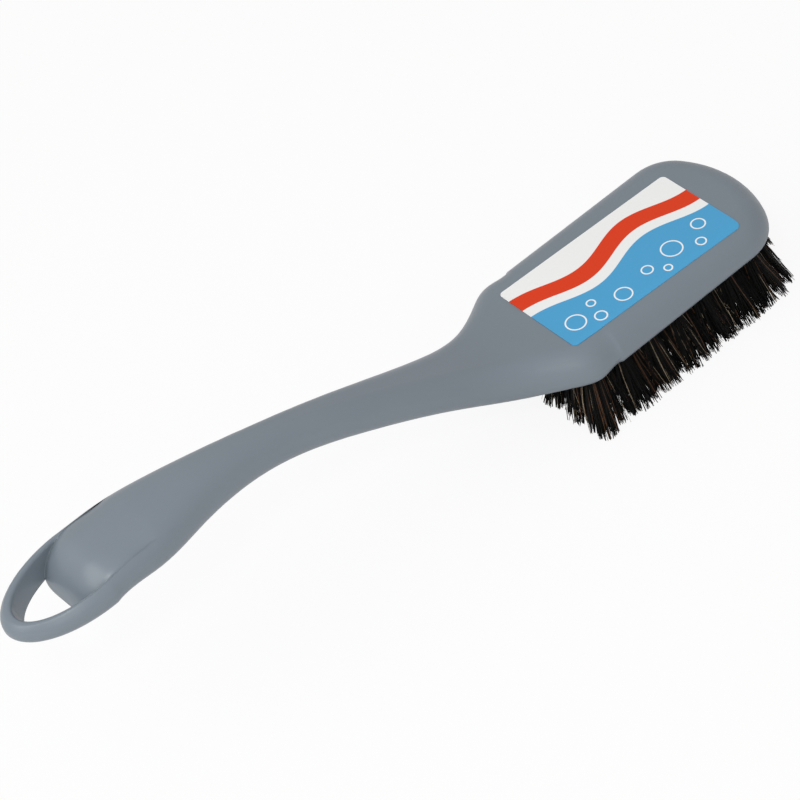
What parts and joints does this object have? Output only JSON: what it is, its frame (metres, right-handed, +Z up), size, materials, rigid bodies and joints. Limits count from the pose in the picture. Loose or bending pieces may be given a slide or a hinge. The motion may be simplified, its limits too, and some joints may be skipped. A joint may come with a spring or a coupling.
{
  "type": "scrub brush",
  "caption": "Hand scrub brush with a flat bristle head, an arched moulded handle and a hanging loop at its end.",
  "frame": {"origin": "middle of the scrubbing face, on the plane where the trimmed bristles end", "axes": "+X along the brush from the handle to the tip of the head, +Z up from the bristle tips to the head's back, +Y completes the right-handed frame"},
  "size_m": [0.2661, 0.0568, 0.0673],
  "materials": {
    "handle_plastic": "satin, blue-grey",
    "label_paper": "printed, faint sheen",
    "bristle": "natural fibre, faint sheen",
    "anchor_steel": "plain wire strip"
  },
  "bodies": {
    "root": {"handle_body": "handle_plastic", "back_label": "label_paper", "tuft_row_01": "bristle", "tuft_row_02": "bristle", "tuft_row_03": "bristle", "tuft_row_04": "bristle", "tuft_row_05": "bristle", "tuft_row_06": "bristle", "tuft_row_07": "bristle", "tuft_row_08": "bristle", "tuft_row_09": "bristle", "tuft_row_10": "bristle", "tuft_row_11": "bristle", "tuft_row_12": "bristle", "tuft_row_13": "bristle", "tuft_row_14": "bristle", "tuft_row_15": "bristle", "anchor_row_01": "anchor_steel", "anchor_row_02": "anchor_steel", "anchor_row_03": "anchor_steel", "anchor_row_04": "anchor_steel", "anchor_row_05": "anchor_steel", "anchor_row_06": "anchor_steel", "anchor_row_07": "anchor_steel", "anchor_row_08": "anchor_steel", "anchor_row_09": "anchor_steel", "anchor_row_10": "anchor_steel", "anchor_row_11": "anchor_steel", "anchor_row_12": "anchor_steel", "anchor_row_13": "anchor_steel", "anchor_row_14": "anchor_steel", "anchor_row_15": "anchor_steel"}
  },
  "joints": []
}
